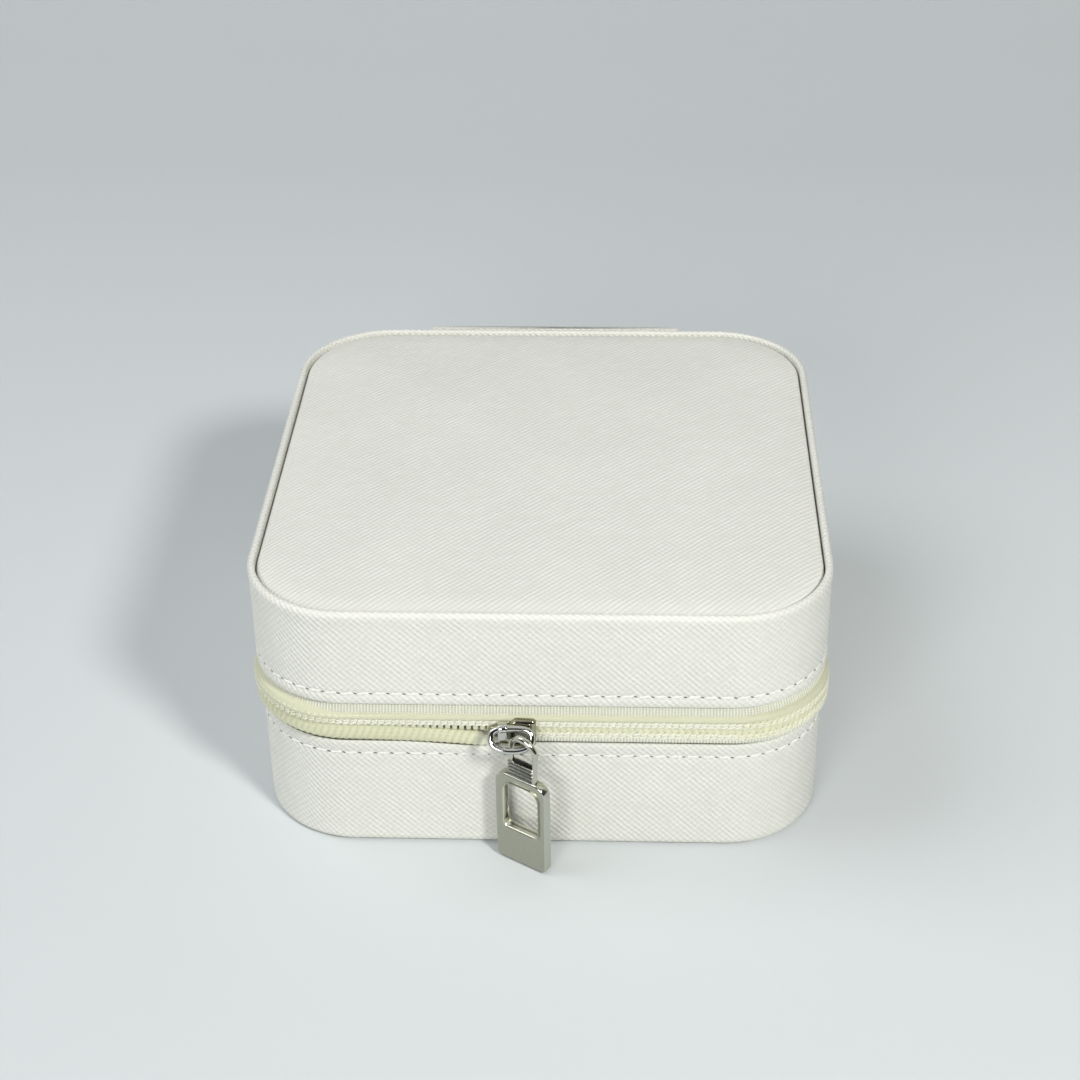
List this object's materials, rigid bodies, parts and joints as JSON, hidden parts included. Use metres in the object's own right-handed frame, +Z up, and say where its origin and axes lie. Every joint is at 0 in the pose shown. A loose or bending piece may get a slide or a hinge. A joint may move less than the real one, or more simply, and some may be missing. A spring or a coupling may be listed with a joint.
{
  "type": "jewelry box",
  "caption": "Zip-round travel jewelry case with a padded hinged lid, ring rolls, compartments, necklace knobs, a pocket and a swinging pull tab.",
  "frame": {"origin": "middle of the case's plan, on the underside that the case rests on", "axes": "+X to the right seen from the front, +Y from the front with the pull tab to the hinge patch at the back, +Z up"},
  "size_m": [0.1008, 0.1109, 0.0495],
  "materials": {
    "cream_leather": "fine cross-grained, satin",
    "velvet_lining": "short velvet",
    "stiff_board": "matte grey board",
    "padding": "thin foam sheet",
    "elastic": "woven elastic",
    "bright_knob": "polished",
    "zip_tape": "ribbed woven tape",
    "zip_coil": "nylon coil",
    "bright_metal": "mirror polished nickel plate",
    "satin_metal": "satin nickel plate with polished bevels"
  },
  "bodies": {
    "base": {"base_outer_wrap": "cream_leather", "base_bottom_cover": "cream_leather", "base_bottom_board": "stiff_board", "base_board_frame": "stiff_board", "base_inner_wall": "velvet_lining", "base_floor_pad": "velvet_lining", "ring_roll_1": "velvet_lining", "ring_roll_2": "velvet_lining", "ring_roll_3": "velvet_lining", "ring_roll_4": "velvet_lining", "ring_roll_5": "velvet_lining", "ring_roll_6": "velvet_lining", "ring_roll_7": "velvet_lining", "long_divider": "velvet_lining", "cross_divider_front": "velvet_lining", "cross_divider_rear": "velvet_lining", "zip_tape_lower": "zip_tape", "zip_coil_lower": "zip_coil", "hinge_patch_base": "cream_leather"},
    "lid": {"lid_outer_wrap": "cream_leather", "lid_board_frame": "stiff_board", "lid_top_board": "stiff_board", "lid_foam": "padding", "lid_top_cover": "cream_leather", "lid_inner_panel": "velvet_lining", "lid_inner_wall": "velvet_lining", "knob_strip": "cream_leather", "necklace_knob_left": "bright_knob", "necklace_knob_middle": "bright_knob", "necklace_knob_right": "bright_knob", "pocket_sleeve": "velvet_lining", "pocket_elastic": "elastic", "zip_tape_upper": "zip_tape", "zip_coil_upper": "zip_coil", "hinge_patch_lid": "cream_leather"},
    "slider": {"slider_body": "bright_metal"},
    "ring": {"pull_ring": "bright_metal"},
    "tab": {"pull_tab": "satin_metal"}
  },
  "joints": [
    {"name": "lid_hinge", "type": "hinge", "parent": "base", "child": "lid", "pos_m": [0, 0.052, 0.026], "axis": [-1, 0, 0], "range_deg": [0, 175]},
    {"name": "slider_travel", "type": "slide", "parent": "base", "child": "slider", "axis": [1, 0, 0], "range_m": [-0.024, 0.032]},
    {"name": "ring_swing", "type": "hinge", "parent": "slider", "child": "ring", "pos_m": [-0.0042, -0.0534, 0.0279], "axis": [-1, 0, 0], "range_deg": [-1, 85]},
    {"name": "tab_swing", "type": "hinge", "parent": "ring", "child": "tab", "pos_m": [-0.00216, -0.05565, 0.02492], "axis": [-0.8434, 0.5373, 0], "range_deg": [-2, 15]}
  ]
}
